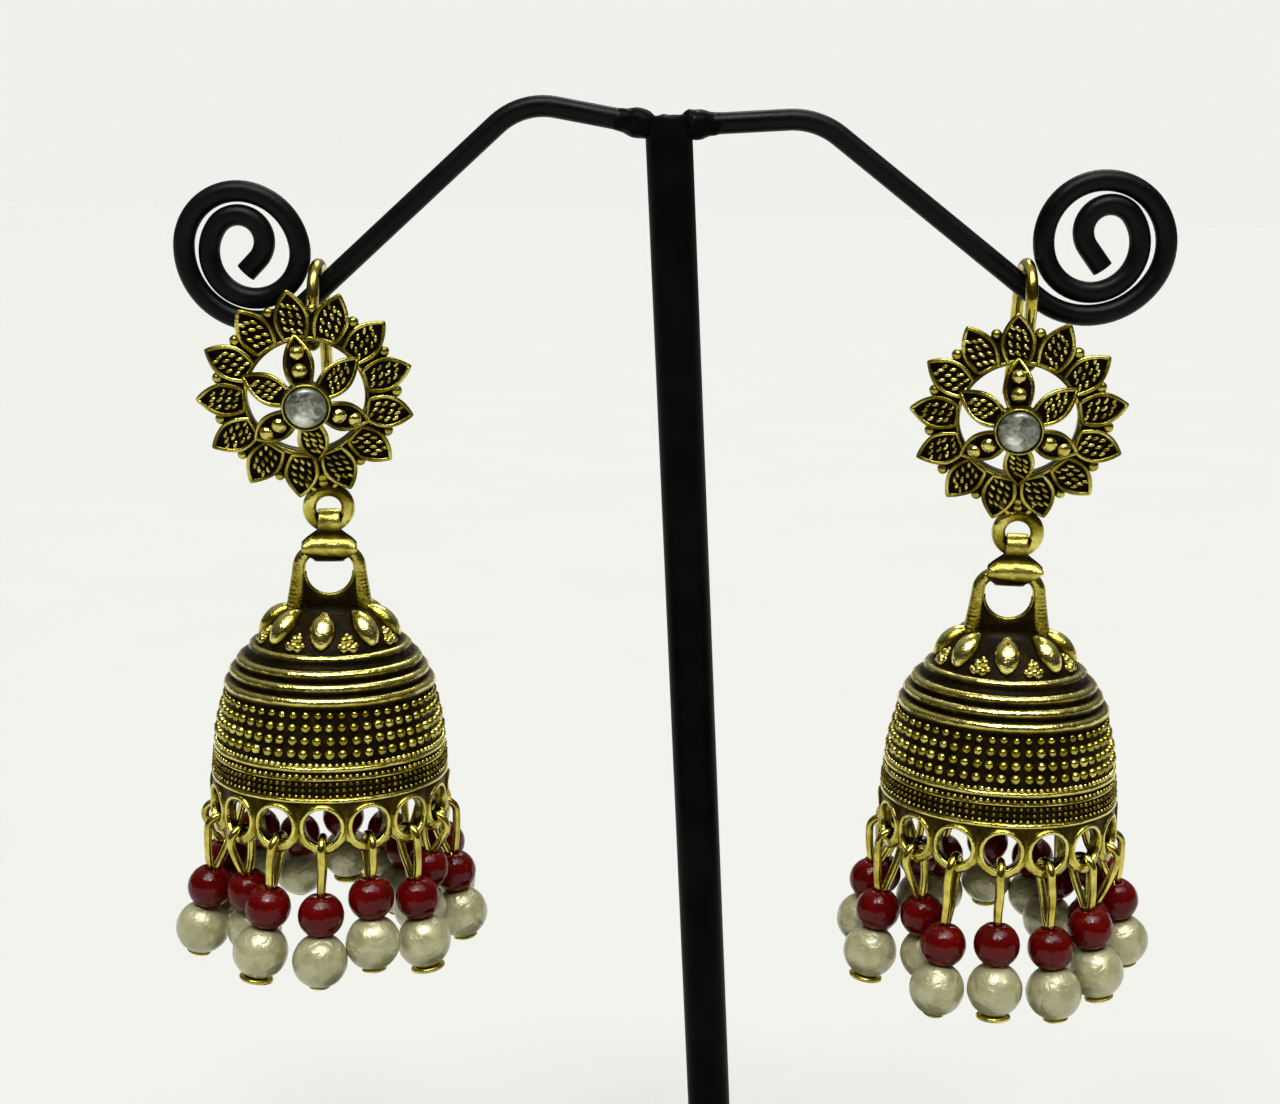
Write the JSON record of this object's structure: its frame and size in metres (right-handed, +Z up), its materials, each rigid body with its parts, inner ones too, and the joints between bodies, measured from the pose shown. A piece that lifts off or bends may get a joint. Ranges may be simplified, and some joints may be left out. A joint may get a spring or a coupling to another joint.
{
  "type": "pair of jhumka earrings on an earring stand",
  "caption": "Pair of bell-shaped jhumka earrings with flower tops, red beads and pearl drops, hanging on a black T-shaped wire stand with spiral arm ends.",
  "frame": {"origin": "middle of the underside of the stand's round foot", "axes": "+Z up; +X along the arms to the viewer's right; -Y towards the viewer, the side the flowers face"},
  "size_m": [0.0747, 0.064, 0.1057],
  "materials": {
    "black_coated_metal": "satin black coating",
    "black_coated_wire": "satin black coating on wire",
    "gold_wire": "gold-tone plated wire",
    "antique_gold": "antique gold tone with dark oxidised recesses",
    "polished_gold": "bright gold tone, slightly brushed",
    "clear_grey_stone": "clear foiled stone, polished",
    "red_bead": "glossy dark red",
    "pearl": "creamy pearl coating, soft lustre"
  },
  "bodies": {
    "stand": {"stand_base": "black_coated_metal", "stand_post": "black_coated_metal", "left_arm": "black_coated_wire", "right_arm": "black_coated_wire", "left_ear_hook": "gold_wire", "left_flower": "antique_gold", "left_stone": "clear_grey_stone", "right_ear_hook": "gold_wire", "right_flower": "antique_gold", "right_stone": "clear_grey_stone"},
    "left_link": {"left_link": "polished_gold"},
    "left_bell": {"left_bell": "antique_gold", "left_drop_pins": "gold_wire", "left_red_beads": "red_bead", "left_pearl_01": "pearl", "left_pearl_02": "pearl", "left_pearl_03": "pearl", "left_pearl_04": "pearl", "left_pearl_05": "pearl", "left_pearl_06": "pearl", "left_pearl_07": "pearl", "left_pearl_08": "pearl", "left_pearl_09": "pearl", "left_pearl_10": "pearl", "left_pearl_11": "pearl", "left_pearl_12": "pearl", "left_pearl_13": "pearl", "left_pearl_14": "pearl", "left_pearl_15": "pearl", "left_pearl_16": "pearl"},
    "right_link": {"right_link": "polished_gold"},
    "right_bell": {"right_bell": "antique_gold", "right_drop_pins": "gold_wire", "right_red_beads": "red_bead", "right_pearl_01": "pearl", "right_pearl_02": "pearl", "right_pearl_03": "pearl", "right_pearl_04": "pearl", "right_pearl_05": "pearl", "right_pearl_06": "pearl", "right_pearl_07": "pearl", "right_pearl_08": "pearl", "right_pearl_09": "pearl", "right_pearl_10": "pearl", "right_pearl_11": "pearl", "right_pearl_12": "pearl", "right_pearl_13": "pearl", "right_pearl_14": "pearl", "right_pearl_15": "pearl", "right_pearl_16": "pearl"}
  },
  "joints": [
    {"name": "left_swing", "type": "hinge", "parent": "stand", "child": "left_link", "pos_m": [-0.0314, -0.0081, 0.0756], "axis": [0.1538, -0.9711, -0.1822], "range_deg": [-15, 15]},
    {"name": "left_tip", "type": "hinge", "parent": "left_link", "child": "left_bell", "pos_m": [-0.03144, -0.00785, 0.0724], "axis": [0.9877, 0.1564, 0], "range_deg": [-20, 20]},
    {"name": "right_swing", "type": "hinge", "parent": "stand", "child": "right_link", "pos_m": [0.01965, -0.0081, 0.07485], "axis": [-0.1538, -0.9711, -0.1822], "range_deg": [-15, 15]},
    {"name": "right_tip", "type": "hinge", "parent": "right_link", "child": "right_bell", "pos_m": [0.01929, -0.00778, 0.07165], "axis": [0.9877, -0.1564, 0], "range_deg": [-20, 20]}
  ]
}
